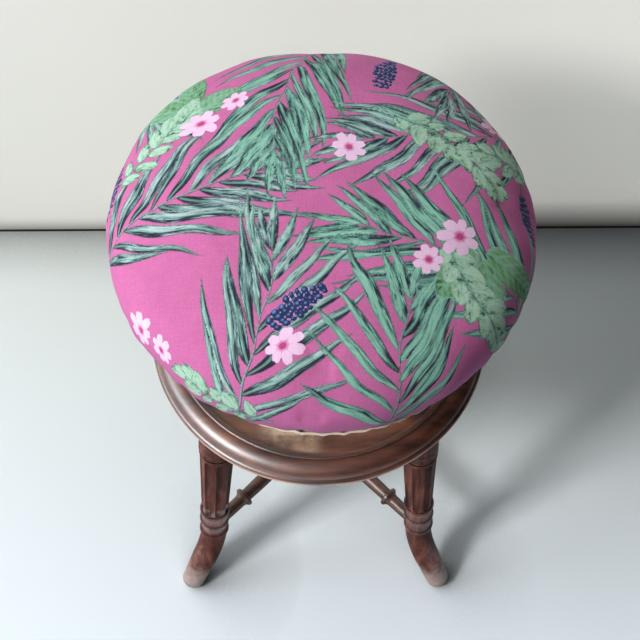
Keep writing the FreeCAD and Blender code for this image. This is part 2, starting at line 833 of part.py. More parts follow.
def main():
    os.makedirs("parts", exist_ok=True)
    write_piece("base_ring", base_ring())
    angles = [first_leg_angle + index * FULL_TURN / leg_count for index in range(leg_count)]
    write_piece("leg_front_left", leg(angles[0]))
    write_piece("leg_front_right", leg(angles[1], -flute_turn, odd_leg_collar_drop,
                                       odd_leg_ankle_lift))
    write_piece("leg_back_right", leg(angles[2], -flute_turn))
    write_piece("leg_back_left", leg(angles[3]))
    corners = ["front_left", "front_right", "back_right", "back_left"]
    for corner, copy in zip(corners, around(stretcher(), leg_count, first_leg_angle)):
        write_piece("stretcher_" + corner, copy)
    pieces = [centre_column, hub_finial, spindle_nut, nut_screws, stop_washer, spindle, stop_nut,
              seat_spider, spider_pin, spider_screws, seat_board, stuffing_pad, calico_lining,
              seat_cover, bottom_cloth, cloth_tacks]
    for piece in pieces:
        write_piece(piece.__name__, piece())


main()
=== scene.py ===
import bpy
import math
import numpy as np
from mathutils import Matrix, Vector


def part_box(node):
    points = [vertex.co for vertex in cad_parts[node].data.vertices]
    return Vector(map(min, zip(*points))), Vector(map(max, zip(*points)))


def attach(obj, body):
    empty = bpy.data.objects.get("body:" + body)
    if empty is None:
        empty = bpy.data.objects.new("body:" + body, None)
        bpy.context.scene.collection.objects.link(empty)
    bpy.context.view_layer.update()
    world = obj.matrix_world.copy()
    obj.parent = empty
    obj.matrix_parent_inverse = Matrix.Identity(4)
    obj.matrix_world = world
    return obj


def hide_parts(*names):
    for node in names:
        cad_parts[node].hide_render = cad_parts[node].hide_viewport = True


# Looks of a revolving piano stool: a stuffed seat in printed cotton over a turned, fluted mahogany base
# Metres, +Z up, -Y is the front

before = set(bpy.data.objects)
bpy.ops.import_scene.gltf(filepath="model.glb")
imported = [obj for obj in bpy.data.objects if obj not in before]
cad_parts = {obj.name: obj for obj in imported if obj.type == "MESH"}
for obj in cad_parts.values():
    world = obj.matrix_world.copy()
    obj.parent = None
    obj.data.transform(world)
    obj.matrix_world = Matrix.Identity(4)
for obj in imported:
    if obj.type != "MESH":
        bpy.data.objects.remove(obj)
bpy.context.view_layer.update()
FULL_TURN = 2 * math.pi

# Seat: the cushion's outline, as the part's solids have it
seat_radius = 0.170
seat_crown = 0.066
crown_pole_radius = 0.600
crown_shoulder_radius = 0.1736
crown_girth_radius = 0.043
seat_side_draw = 0.010
seat_foot_drop = 0.0316
cover_lap = 0.002
board_clearance = 0.0022
pad_hollow_rise = 0.0009

# Cushion mesh and its filling
outline_steps = 60
outline_probe = 0.0005
filling_grid = 100
finer_steps = 4
cushion_lift = 0.0004
cloth_spare_share = 1.004
filling_pressure = 4.0
cotton_feel = {"quality": 6, "mass": 0.2, "tension_stiffness": 22, "compression_stiffness": 10,
               "bending_stiffness": 0.08}
filling_frames = 20
ripple_cap = 0.0022
ripple_share = 0.9
lump_height = 0.00242
lump_spacing = 0.085
lump_waves = 14
dimple_depth = 0.0021
dimple_width = 0.020
dimple_height = 0.016
tuck_count = 30
# Where the larger tucks are, in degrees, and how tall each is as a share of the usual height
tuck_shares = ((-95.0, 1.4), (-72.0, 1.2), (-68.0, 1.0), (-40.0, 1.8), (-31.0, 1.5), (-24.0, 1.8),
               (12.0, 2.4), (19.0, 2.0), (-152.0, 1.5), (-128.0, 1.3))
cover_seed = 11

# The cover's turn under the board, from its foot inwards
lip_drop = 0.0002
lip_fold = 0.0006
lip_rise = 0.0022
tuck_rise = 0.006
pad_corner = 0.004

# Edge of the calico lining, with its hem under the board
lining_proud = 0.0045
lining_overlap = 0.0018
lining_cloth = 0.0008
lining_corner = 0.0030
hem_width = 0.021
flap_azimuth = math.radians(-84)
flap_half_turn = 0.58
flap_reach = 0.0068
edge_ripple = 0.00025

# Dust cloth
cloth_inner = 0.0200
cloth_thickness = 0.0005
cloth_sag = 0.0012
cloth_scallop = 0.0007
slack_from_hub = 0.03
slack_from_edge = 0.012
tack_count = 28

# Camera
camera_place = (-0.0158, -0.4716, 1.2641)
camera_tilt = math.radians(28.1)
camera_turn = math.radians(0.95)
camera_lens = 60.75
camera_sensor = 36.0


class Wire:
    """A value between two nodes. Sums on it make Math nodes."""

    def __init__(self, net, socket):
        self.net = net
        self.socket = socket

    def __add__(self, other):
        return self.net.math("ADD", self, other)

    def __radd__(self, other):
        return self.net.math("ADD", other, self)

    def __sub__(self, other):
        return self.net.math("SUBTRACT", self, other)

    def __rsub__(self, other):
        return self.net.math("SUBTRACT", other, self)

    def __mul__(self, other):
        return self.net.math("MULTIPLY", self, other)

    def __rmul__(self, other):
        return self.net.math("MULTIPLY", other, self)


class Net:
    """Makes the nodes of one material or of the world."""

    def __init__(self, tree):
        self.tree = tree

    def node(self, kind, **settings):
        made = self.tree.nodes.new("ShaderNode" + kind)
        for name, value in settings.items():
            setattr(made, name, value)
        return made

    def feed(self, socket, value):
        if isinstance(value, Wire):
            self.tree.links.new(value.socket, socket)
        elif value is not None:
            socket.default_value = value

    def wired(self, kind, output=0, inputs=(), **settings):
        """A node with its inputs fed, as the wire from one of its outputs."""
        made = self.node(kind, **settings)
        for name, value in dict(inputs).items():
            self.feed(made.inputs[name], value)
        return Wire(self, made.outputs[output])

    def math(self, operation, *values):
        return self.wired("Math", 0, enumerate(values), operation=operation)

    def combine(self, x, y, z):
        return self.wired("CombineXYZ", 0, enumerate((x, y, z)))

    def separate(self, vector):
        made = self.node("SeparateXYZ")
        self.feed(made.inputs[0], vector)
        return [Wire(self, socket) for socket in made.outputs]

    def distance(self, x, y):
        """How far a place is from the upright axis."""
        return self.math("SQRT", x * x + y * y)

    def weave(self, x, y, pitch):
        """Rises and falls with two sets of threads, between -1 and 1."""
        thread = FULL_TURN / pitch
        return self.math("SINE", x * thread) * self.math("SINE", y * thread)

    def noise(self, place, scale, detail=3.0, roughness=0.5, distortion=0.0):
        return self.wired("TexNoise", 0, {"Vector": place, "Scale": scale, "Detail": detail,
                                                    "Roughness": roughness, "Distortion": distortion})

    def span(self, value, low, high, out_low=0.0, out_high=1.0, easing="LINEAR"):
        return self.wired("MapRange", 0, {"Value": value, "From Min": low, "From Max": high,
                                                    "To Min": out_low, "To Max": out_high},
                          interpolation_type=easing, clamp=True)

    def smooth(self, value, low, high):
        return self.span(value, low, high, easing="SMOOTHSTEP")

    def ramp(self, value, stops):
        made = self.node("ValToRGB")
        points = made.color_ramp.elements
        while len(points) < len(stops):
            points.new(1.0)
        for point, (place, colour) in zip(points, stops):
            point.position = place
            point.color = (*colour, 1.0)
        self.feed(made.inputs[0], value)
        return Wire(self, made.outputs[0])

    def mix(self, share, first, second, way="MIX"):
        made = self.node("Mix", data_type="RGBA", blend_type=way)
        self.feed(made.inputs["Factor"], share)
        for name, value in (("A", first), ("B", second)):
            socket = [s for s in made.inputs if s.name == name and s.type == "RGBA"][0]
            self.feed(socket, value if isinstance(value, Wire) else (*value, 1.0))
        return Wire(self, [s for s in made.outputs if s.type == "RGBA"][0])

    def times(self, colour, share):
        return self.mix(1.0, colour, self.combine(share, share, share), way="MULTIPLY")

    def bump(self, height, strength, distance):
        return self.wired("Bump", 0, {"Height": height, "Strength": strength, "Distance": distance})

    def object_place(self):
        return self.wired("TexCoord", "Object")

    def pointiness(self):
        """A half on flat places, more on outward edges and less in corners."""
        return self.wired("NewGeometry", "Pointiness")

    def crevice(self):
        """1 in the open, falling to 0 in a corner."""
        return self.smooth(self.pointiness(), 0.40, 0.48)

    def edge_wear(self):
        """Rises to 1 along outward edges."""
        return self.smooth(self.pointiness(), 0.56, 0.70)

    def openness(self, reach, towards=None):
        """How much open space a place sees within a reach, square to itself or towards a side."""
        return self.wired("AmbientOcclusion", "AO", {"Distance": reach, "Normal": towards},
                          samples=4, only_local=towards is None)

    def shader(self, colour, roughness, normal, **even):
        made = self.node("BsdfPrincipled")
        for name, value in (("Base Color", colour), ("Roughness", roughness), ("Normal", normal)):
            self.feed(made.inputs[name], value)
        for name, value in even.items():
            made.inputs[name.replace("_", " ")].default_value = value
        out = self.node("OutputMaterial")
        self.tree.links.new(made.outputs[0], out.inputs["Surface"])
        return made


def material(name):
    made = bpy.data.materials.new(name)
    made.use_nodes = True
    made.node_tree.nodes.clear()
    return made, Net(made.node_tree)


def sight(*values):
    """A colour as seen on a screen, 0 to 255, for a node."""
    shares = [value / 255 for value in values]
    return tuple(s / 12.92 if s <= 0.04045 else ((s + 0.055) / 1.055) ** 2.4 for s in shares)


# Print colours
pink_ground = sight(205, 114, 168)
pink_deep = sight(194, 102, 156)
leaf_slate = sight(66, 82, 94)
leaf_deep = sight(34, 40, 54)
leaf_mint = sight(92, 148, 132)
leaf_pale = sight(144, 196, 178)
leaf_sage = sight(132, 176, 148)
leaf_fresh = sight(100, 154, 100)
leaf_forest = sight(44, 76, 56)
leaf_frost = sight(178, 212, 190)
leaf_haze = sight(112, 140, 142)
leaf_silver = sight(180, 200, 202)
petal_pale = sight(240, 202, 234)
petal_rose = sight(224, 140, 188)
petal_throat = sight(190, 72, 132)
berry_dark = sight(38, 48, 92)
berry_pale = sight(104, 136, 196)
cotton_shade = sight(120, 84, 96)
# Lengths of the print's leaves and flowers
print_radius = 0.200
soiled_and_shaded_width = 0.055
branch_leaf_length = 0.104
branch_leaf_width = 0.0046
branch_leaf_spacing = 0.0178
branch_leaf_turn = math.radians(44)
twig_leaf_length = 0.0185
twig_leaf_width = 0.0064
twig_leaf_spacing = 0.0150
twig_leaf_turn = math.radians(58)
broad_leaf_width = 0.0145
stem_width = 0.0013
hand_wobble = 0.0016
print_edge = 0.0006
ragged_edge = 0.0012
rib_width = 0.0008
border_width = 0.0011
halves_blend = 0.0005
thread_pitch = 0.00085
cotton_relief = 0.00025
berry_radius = 0.0027

# Layout of the print: places and lengths as shares of the seat's radius, turns in degrees,
# and bends as a share of a full turn over the length
branch_shares = (
    # place, turn, length, leaf, bend, palette
    ((-1.04, -0.26), 24, 0.94, 0.98, -0.06, 0.05),
    ((0.10, 1.10), 248, 1.02, 1.04, 0.07, 0.3),
    ((1.06, 0.46), 200, 0.96, 1.00, -0.07, 0.1),
    ((1.00, -0.60), 150, 0.98, 1.04, 0.07, 0.35),
    ((-0.46, -1.10), 66, 0.88, 0.98, 0.08, 0.1),
    ((0.34, -1.16), 98, 0.70, 0.94, -0.09, 0.35),
    ((0.66, 1.10), 262, 0.62, 0.85, -0.08, 0.1),
    ((-0.80, 0.94), 276, 0.58, 0.85, 0.09, 0.2),
)
twig_shares = (
    ((-0.90, 0.08), 36, 0.52, 1.00, 0.10, 0.66),
    ((0.22, 0.36), -30, 0.58, 1.05, -0.10, 0.62),
    ((0.44, -0.18), -62, 0.54, 1.00, 0.12, 0.64),
    ((-0.10, 0.98), 206, 0.50, 0.95, -0.12, 0.62),
    ((0.96, 0.14), 166, 0.40, 0.95, 0.10, 0.64),
    ((-0.22, -0.98), 152, 0.42, 0.95, -0.10, 0.66),
)
broad_shares = (
    ((0.62, -0.26), -28, 0.31, 1.00, 0.05, 1.0),
    ((0.60, -0.30), -82, 0.27, 0.95, -0.05, 1.0),
    ((0.56, -0.26), -128, 0.24, 0.90, 0.05, 0.95),
    ((-0.56, 0.40), 150, 0.29, 0.95, 0.05, 1.0),
    ((-0.53, 0.42), 96, 0.26, 0.95, -0.05, 0.95),
    ((-0.50, 0.38), 40, 0.22, 0.85, -0.05, 1.0),
)
flower_shares = (
    # place, turn, size, squash
    ((-0.49, 0.32), 12, 0.090, 0.94),
    ((-0.35, 0.42), 50, 0.074, 0.84),
    ((0.50, -0.22), 30, 0.090, 0.92),
    ((0.38, -0.32), 5, 0.072, 0.84),
    ((0.10, 0.16), 22, 0.080, 0.90),
    ((0.74, 0.40), 40, 0.078, 0.88),
    ((-0.74, -0.54), 18, 0.084, 0.92),
    ((-0.64, -0.64), 70, 0.068, 0.86),
    ((-0.14, -0.66), 33, 0.078, 0.90),
)
berry_shares = (
    # place, turn, length of the bunch
    ((-0.92, -0.02), 74, 0.24),
    ((0.30, 0.72), 250, 0.22),
    ((0.00, -0.44), 215, 0.22),
    ((0.88, -0.14), 100, 0.20),
)
petal_count = 7
flower_pink = 0.0
flower_blue = 1.0
# What each layer keeps of a point: three parts in its form and three in its look
leaf_parts = ("edge", "across", "along", "tone", "palette", "rib")
bloom_parts = ("edge", "share", "fold", "tone", "kind", "petal")
first_values = {"edge": -1.0, "rib": 1.0}


class Print:
    """The print's two layers over the points of the flattened cover. Each point keeps how far it is
    inside a leaf or bloom, and where on it and on which kind it is."""

    def __init__(self, x, y, seed):
        self.chance = np.random.default_rng(seed)
        self.x = x
        self.y = y
        self.leaf, self.bloom = [{part: np.full(len(x), first_values.get(part, 0.0)) for part in parts}
                                 for parts in (leaf_parts, bloom_parts)]

    def lay(self, layer, near, edge, **values):
        """Lay a shape over what is there: its own look inside it, and the union's edge."""
        inside = edge > 0
        layer["edge"][near] = np.maximum(layer["edge"][near], edge)
        chosen = near[inside]
        for name, value in values.items():
            layer[name][chosen] = value[inside] if isinstance(value, np.ndarray) else value

    def around(self, place, angle, reach):
        """The points near a place, and where they are on axes turned by an angle."""
        near = np.nonzero((self.x - place[0]) ** 2 + (self.y - place[1]) ** 2 < reach ** 2)[0]
        x = self.x[near] - place[0]
        y = self.y[near] - place[1]
        return near, x * math.cos(angle) + y * math.sin(angle), y * math.cos(angle) - x * math.sin(angle)

    def blade(self, place, angle, length, width, bend, palette, rise=0.55, fall=0.9, veins=0.0):
        """One pointed leaf, a little bent, with a light rib, its own tone and maybe side veins."""
        near, x, y = self.around(place, angle, length * 1.15)
        if not len(near):
            return
        bent = y - bend * x * x / length
        share = np.clip(x / length, 0, 1)
        peak = (rise / (rise + fall)) ** rise * (fall / (rise + fall)) ** fall
        half = width * share ** rise * (1 - share) ** fall / peak
        away = np.abs(bent)
        past_ends = np.abs(x - length / 2) - length / 2
        edge = np.where((x > 0) & (x < length), half - away, -np.hypot(past_ends, y))
        rib_off = away
        if veins:
            slanted = (x - away * 0.8) / veins
            rib_off = np.minimum(away, np.abs(slanted - np.round(slanted)) * veins * 0.55 + away * 0.02)
        self.lay(self.leaf, near, edge, across=bent, along=share, rib=rib_off,
                 tone=self.chance.uniform(-0.5, 0.5), palette=palette + self.chance.uniform(-0.06, 0.06))

    def spine(self, place, angle, length, bend, steps=40):
        """Points down a bending stem, with their turns."""
        turns = math.radians(angle) + bend * FULL_TURN * (np.linspace(0, 1, steps) - 0.3)
        step = length / (steps - 1)
        x = place[0] + np.concatenate([[0], np.cumsum(np.cos(turns[:-1]) * step)])
        y = place[1] + np.concatenate([[0], np.cumsum(np.sin(turns[:-1]) * step)])
        return x, y, turns

    def stem(self, x, y, turns, palette):
        """A stem that runs thinner towards its tip."""
        for index in range(len(x) - 1):
            length = math.hypot(x[index + 1] - x[index], y[index + 1] - y[index])
            near, along, aside = self.around((x[index], y[index]), turns[index], length * 2 + stem_width * 3)
            past = np.maximum(np.abs(along - length / 2) - length / 2, 0)
            thin = stem_width * (1 - 0.65 * index / len(x))
            self.lay(self.leaf, near, thin - np.hypot(past, aside), across=aside, rib=1.0,
                     along=0.5, tone=-0.1, palette=palette)

    def branch(self, place, angle, length, leaf, width, spacing, turn, bend, palette, twig=False):
        """A stem with leaves on both sides, short at its foot and its tip."""
        rise, fall, tip = (0.45, 0.6, 0.8) if twig else (0.62, 1.0, 0.45)
        x, y, turns = self.spine(place, angle, length, bend)
        count = int(length / spacing)
        for number in range(count, 0, -1):
            share = (number + 0.3) / (count + 1)
            spot = share * (len(x) - 1)
            here = [float(np.interp(spot, np.arange(len(line)), line)) for line in (x, y)]
            heading = turns[int(spot)]
            swell = 0.22 + 0.70 * share
            size = leaf * (4 * swell * (1 - swell) if not twig else 0.75 + 0.45 * math.sin(share * 3))
            for side in (-1, 1):
                lean = turn * (1.12 - 0.55 * share) * self.chance.uniform(0.84, 1.16)
                own = size * self.chance.uniform(0.80, 1.12)
                shift = (0.5 if side > 0 else 0.0) * spacing
                foot = (here[0] + math.cos(heading) * shift, here[1] + math.sin(heading) * shift)
                self.blade(foot, heading + side * lean, own, width * self.chance.uniform(0.75, 1.2),
                           -side * self.chance.uniform(0.02, 0.16), palette, rise, fall)
        self.blade((x[-2], y[-2]), turns[-1], leaf * tip, width * 0.8, 0.05, palette)
        self.stem(x, y, turns, palette * 0.5)

    def flower(self, place, angle, size, squash):
        """An open flower with notched petals of its own lengths."""
        near, x, y = self.around(place, math.radians(angle), size * 1.3)
        y = y / squash
        reach = np.hypot(x, y)
        share = reach / size
        turn = np.arctan2(y, x) * petal_count / FULL_TURN
        petal = np.round(turn)
        off = np.abs(turn - petal)
        petal = petal % petal_count
        lengths = self.chance.uniform(0.84, 1.0, petal_count)
        rim = (1.0 - (off * 2) ** 2.4 * 0.42) * lengths[petal.astype(int)]
        rim = rim - 0.05 * np.exp(-(off / 0.07) ** 2)
        self.lay(self.bloom, near, (rim - share) * size, share=share, fold=off * 2,
                 tone=self.chance.uniform(-0.3, 0.3), petal=petal, kind=flower_pink)

    def bunch(self, place, angle, length):
        """A tapering bunch of round berries on a short stem."""
        x, y, turns = self.spine(place, angle, length, 0.05, steps=9)
        self.stem(x, y, turns, 0.6)
        rows = max(3, int(length / (berry_radius * 1.3)))
        for row in range(rows):
            share = row / (rows - 1)
            spot = min(int(share * 8), 8)
            across_count = max(1, int(round(5.0 * math.sin(math.pi * (0.22 + 0.7 * (1 - share))))))
            for item in range(across_count):
                aside = (item - (across_count - 1) / 2) * berry_radius * 1.5
                aside += self.chance.uniform(-0.2, 0.2) * berry_radius
                here = (x[spot] - math.sin(turns[spot]) * aside, y[spot] + math.cos(turns[spot]) * aside)
                size = berry_radius * self.chance.uniform(0.85, 1.15)
                near, off_x, off_y = self.around(here, 0.0, size * 2)
                if not len(near):
                    continue
                reach = np.hypot(off_x, off_y)
                lit = np.hypot(off_x + size * 0.3, off_y - size * 0.3)
                self.lay(self.bloom, near, size - reach, share=lit / size, fold=reach / size,
                         tone=self.chance.uniform(-0.4, 0.4), petal=0.0, kind=flower_blue)


def draw_print(x, y):
    """Lays all branches, twigs, broad leaves, berries and flowers over the flattened cover."""
    # The hand that drew it wavers, in waves of 4 to 11 cm
    sway = np.sin(x * 71 + 1.3) * np.sin(y * 64 + 0.4) + 0.6 * np.sin(x * 143 + y * 97)
    veer = np.sin(y * 77 + 2.1) * np.sin(x * 59 + 1.9) + 0.6 * np.sin(y * 131 - x * 103)
    cloth = Print(x + sway * hand_wobble, y + veer * hand_wobble, cover_seed + 3)

    def at(place):
        return place[0] * print_radius, place[1] * print_radius

    for place, angle, length, leaf, bend, palette in branch_shares:
        cloth.branch(at(place), angle, length * print_radius, leaf * branch_leaf_length, branch_leaf_width,
                     branch_leaf_spacing, branch_leaf_turn, bend, palette)
    for place, angle, length in berry_shares:
        cloth.bunch(at(place), angle, length * print_radius)
    for place, angle, length, width, bend, palette in broad_shares:
        cloth.blade(at(place), math.radians(angle), length * print_radius, width * broad_leaf_width, bend,
                    palette, rise=0.5, fall=0.62, veins=length * print_radius * 0.13)
    for place, angle, length, leaf, bend, palette in twig_shares:
        cloth.branch(at(place), angle, length * print_radius, leaf * twig_leaf_length, twig_leaf_width,
                     twig_leaf_spacing, twig_leaf_turn, bend, palette, twig=True)
    for place, angle, size, squash in flower_shares:
        cloth.flower(at(place), angle, size * print_radius, squash)
    stores = {}
    for name, layer in (("leaf", cloth.leaf), ("bloom", cloth.bloom)):
        parts = list(layer.values())
        stores[name + "_form"] = parts[:3]
        stores[name + "_look"] = parts[3:]
    return stores


def printed_cotton():
    """Deep pink cotton, inked with the leaves and flowers that draw_print laid over it."""
    made, net = material("printed_cotton")

    def stored(name):
        return net.wired("Attribute", "Vector", attribute_name=name)

    place = stored("cloth_place")
    leaf_edge, across, along = net.separate(stored("leaf_form"))
    leaf_tone, palette, rib_off = net.separate(stored("leaf_look"))
    bloom_edge, share, fold = net.separate(stored("bloom_form"))
    bloom_tone, kind, petal = net.separate(stored("bloom_look"))
    flat_x, flat_y, _ = net.separate(place)
    mottle = net.noise(place, 60.0, 3.0, 0.65)
    speckle = net.noise(place, 950.0, 2.0, 0.7)
    ground = net.mix(net.smooth(mottle * 0.3 + speckle * 0.7, 0.36, 0.64), pink_deep, pink_ground)

    patch = net.noise(net.combine(across * 420.0, along * 4.5, leaf_tone * 60.0), 1.0, 3.0, 0.62)
    brush = net.noise(net.combine(across * 1900.0, along * 9.0, leaf_tone * 40.0), 1.0, 3.0, 0.6)
    ends = net.smooth(along, 0.60, 0.96) * net.smooth(leaf_tone, -0.05, 0.10)
    ends = ends + net.smooth(0.30 - along, 0.0, 0.24) * net.smooth(0.05 - leaf_tone, 0.0, 0.15)
    dabs = net.noise(place, 360.0, 2.0, 0.6)
    rough_edge = leaf_edge + (dabs - 0.5) * ragged_edge
    inked = net.smooth(rough_edge, -print_edge, print_edge)
    halves = net.smooth(across, -halves_blend, halves_blend)
    tone = 0.53 + 0.16 * leaf_tone + 1.2 * (brush - 0.5) + 2.0 * (patch - 0.5)
    tone = tone + 0.24 * (halves - 0.5) - 0.38 * ends
    rib = net.smooth(rib_width - net.math("ABSOLUTE", rib_off), -print_edge, print_edge)
    slate = net.ramp(tone, [(0.22, leaf_deep), (0.40, leaf_slate), (0.54, leaf_haze), (0.80, leaf_silver)])
    mint = net.ramp(tone, [(0.18, leaf_deep), (0.34, leaf_slate), (0.46, leaf_mint), (0.76, leaf_pale)])
    sage = net.ramp(tone, [(0.0, leaf_forest), (0.20, leaf_sage), (0.60, leaf_frost)])
    fresh = net.ramp(tone, [(0.0, leaf_forest), (0.34, leaf_fresh), (0.85, leaf_sage)])
    leafy = net.mix(net.smooth(palette, 0.0, 0.33), slate, mint)
    leafy = net.mix(net.smooth(palette, 0.40, 0.60), leafy, sage)
    leafy = net.mix(net.smooth(palette, 0.70, 0.90), leafy, fresh)
    leafy = net.mix(rib * 0.5, leafy, leaf_pale)
    border = net.smooth(border_width - rough_edge, -print_edge, print_edge)
    leafy = net.mix(border * 0.34, leafy, leaf_deep)
    colour = net.mix(inked, ground, leafy)

    vein = net.noise(net.combine(fold * 5.0, petal * 7.0, share * 1.2), 2.4, 2.0)
    bloom_ink = net.smooth(bloom_edge, -print_edge, print_edge)
    depth = net.smooth(share, 0.06, 0.44) - 0.40 * net.smooth(fold, 0.66, 1.0) + 0.7 * (vein - 0.5)
    petal_stops = [(0.0, petal_throat), (0.35, petal_rose), (0.8, petal_pale)]
    petal_ink = net.ramp(depth + 0.25 * bloom_tone, petal_stops)
    heart = net.smooth(0.15 - share, -0.03, 0.03)
    petal_ink = net.mix(heart, petal_ink, petal_throat)
    berry_ink = net.ramp(share + 0.2 * bloom_tone, [(0.15, berry_pale), (0.55, berry_dark)])
    bloom = net.mix(net.smooth(kind, 0.4, 0.6), petal_ink, berry_ink)
    colour = net.mix(bloom_ink, colour, bloom)

    # Soiling and painted shade: the cover darkens towards its foot
    soiled_and_shaded = net.smooth(net.distance(flat_x, flat_y), cover_reach - soiled_and_shaded_width, cover_reach) * 0.42
    colour = net.mix(soiled_and_shaded, colour, cotton_shade, way="MULTIPLY")

    weave = net.weave(flat_x, flat_y, thread_pitch)
    slub = net.noise(net.combine(flat_x * 60.0, flat_y * 900.0, 0.0), 1.0, 2.0)
    slub_across = net.noise(net.combine(flat_x * 900.0, flat_y * 60.0, 4.0), 1.0, 2.0)
    worn = 0.97 + 0.05 * weave + 0.20 * (slub - 0.5) + 0.20 * (slub_across - 0.5) + 0.14 * (speckle - 0.5)
    colour = net.times(colour, worn)
    normal = net.bump(weave * 0.35 + slub + slub_across, 0.22, cotton_relief)
    roughness = 0.74 + 0.14 * (mottle - 0.5)
    net.shader(colour, roughness, normal, Sheen_Weight=0.04, Sheen_Roughness=0.45,
               Specular_IOR_Level=0.12)
    return made


def toned(colour, share, more=0.0):
    """A colour with each part multiplied and raised, up to white."""
    return tuple(min(1.0, part * share + more) for part in colour)


def wood(name, along, tones, gloss=0.34, coat=0.25, coat_spread=0.16, coat_index=1.5, level=0.36,
         groove_open=0.45, rubbing=0.55, waxed_top=0.0, waxed_zones=(), toe_height=0.0, patch=False,
         band=None, light_side=None):
    """Stained mahogany with pores, streaks, rubbed edges, and dark wax with painted shade in its grooves and
    corners; it can also carry painted light on a worn patch and painted shade on its right side.
    """
    made, net = material(name)
    place = net.object_place()
    x, y, z = net.separate(place)

    def between(low, high, fade):
        return net.smooth(z, low, low + fade) * net.smooth(high - z, 0.0, fade)

    def drawn_out(lengthwise, across):
        if along == "x":
            return net.combine(x * lengthwise, y * across, z * across)
        return net.combine(x * across, y * across, z * lengthwise)

    streak = net.noise(drawn_out(7.0, 70.0), 1.0, 5.0, 0.62, 0.6)
    cloud = net.noise(place, 18.0, 3.0, 0.55)
    pores = net.noise(drawn_out(60.0, 1100.0), 1.0, 2.0, 0.6)
    pore = net.smooth(pores, 0.60, 0.72)
    dark, mid, light = tones
    colour = net.ramp(streak + (cloud - 0.5) * 0.35, [(0.30, dark), (0.50, mid), (0.72, light)])
    colour = net.mix(pore * 0.55, colour, toned(dark, 0.35))
    # Dark wax and painted shade: darker where little open space is near, in grooves and corners
    grime_and_shade = net.smooth(net.openness(groove_reach), groove_open, 0.97)
    colour = net.mix(1.0 - grime_and_shade, colour, toned(dark, 0.12))
    scuffs = net.noise(place, 90.0, 4.0, 0.7)
    rub = net.edge_wear() * net.smooth(scuffs, 0.34, 0.62)
    colour = net.mix(rub * rubbing, colour, toned(light, 1.9, 0.03))
    fleck = net.smooth(net.noise(place, 340.0, 3.0, 0.75), 0.70, 0.78)
    colour = net.mix(fleck * 0.28, colour, fleck_tone)
    rough_spare = 0.0
    # A lighter tan patch on the recess floor in front: worn wood and a painted pool of light, with dark
    # specks
    if patch:
        reach = net.distance(x, y)
        worn = net.smooth(net.noise(place, 30.0, 5.0, 0.65), 0.30, 0.56)
        off_patch = net.math("ABSOLUTE", x - patch_place)
        near_patch = net.smooth(patch_half - off_patch, 0.0, patch_fade)
        worn = worn * net.smooth(recess_radius - reach, 0.0, recess_fade) * (0.07 + near_patch * 0.93)
        tan = net.mix(net.smooth(streak, 0.35, 0.65), *worn_and_lit_patch_tones)
        colour = net.mix(worn * 0.85, colour, tan)
        spots = net.noise(net.combine(x * 240.0, y * 700.0, z * 700.0), 1.0, 2.0)
        colour = net.mix(net.smooth(spots, 0.64, 0.70) * worn * 0.7, colour, dark)
        rough_spare = worn * 0.25
    if band:
        worn = between(*band, band_fade) * net.smooth(net.noise(place, 40.0, 4.0, 0.6), 0.22, 0.55)
        colour = net.mix(worn * 0.85, colour, band_tone)
    if toe_height:
        low = net.smooth(toe_height - z, 0.0, toe_height * 0.8)
        worn = net.smooth(net.noise(place, 120.0, 5.0, 0.7) * 0.8 + low * 0.85, 0.66, 1.44)
        colour = net.mix(worn * 0.86, colour, toe_tone)
        rough_spare = worn * 0.3
    # Painted shade: darker towards the right side, away from the window
    if light_side is not None:
        colour = net.times(colour, net.span(x, *shaded_side, 1.0, 0.60))
    roughness = gloss + 0.22 * (cloud - 0.5) + 0.25 * (1.0 - grime_and_shade) + 0.18 * (scuffs - 0.5) + rough_spare
    normal = net.bump(streak * 0.4 + pores * 0.3 + scuffs * 0.3, 0.16, grain_relief)
    body = net.shader(colour, roughness, normal, Coat_Weight=coat, Coat_Roughness=coat_spread,
                      Coat_IOR=coat_index, Specular_IOR_Level=level)
    if waxed_top:
        facing = net.separate(net.wired("NewGeometry", "Normal"))
        waxed = net.smooth(facing[2], 0.20, 0.62)
        for zone in waxed_zones:
            side = net.span(x, *waxed_side, 0.8, 0.55)
            waxed = net.math("MAXIMUM", waxed, between(*zone, zone_fade) * side)
        net.feed(body.inputs["Coat Weight"], waxed * waxed_top + coat)
    if light_side is not None:
        net.feed(body.inputs["Coat Weight"], net.span(x, *coated_side, coat, light_side))
    return made


def metal(name, colour, roughness, metallic, lathe=False, pitted=0.0, rust=0.2):
    """Iron or steel with cast or turned marks, dulled and a little rusted in the corners."""
    made, net = material(name)
    place = net.object_place()
    x, y, z = net.separate(place)
    cloud = net.noise(place, 55.0, 4.0, 0.6)
    fine = net.noise(place, 900.0, 3.0, 0.7)
    marks = fine
    if lathe:
        marks = net.noise(net.combine(x * 40.0, y * 40.0, z * 5200.0), 1.0, 2.0)
    base = net.mix(net.smooth(cloud, 0.35, 0.7), toned(colour, 0.75), toned(colour, 1.2))
    brown = net.mix(fine, *rust_tones)
    rusty = net.smooth((1.0 - net.crevice()) * 0.6 + cloud * 0.8, 0.5, 1.0) * rust
    base = net.mix(rusty, base, brown)
    base = net.mix(net.edge_wear() * 0.4, base, toned(colour, 2.0, 0.1))
    rough = roughness + 0.3 * (cloud - 0.5) + 0.25 * rusty + 0.15 * (marks - 0.5)
    height = marks * (1.0 - pitted) + fine * pitted
    normal = net.bump(height, 0.25 + 0.35 * pitted, metal_relief)
    net.shader(base, rough, normal, Metallic=metallic)
    return made


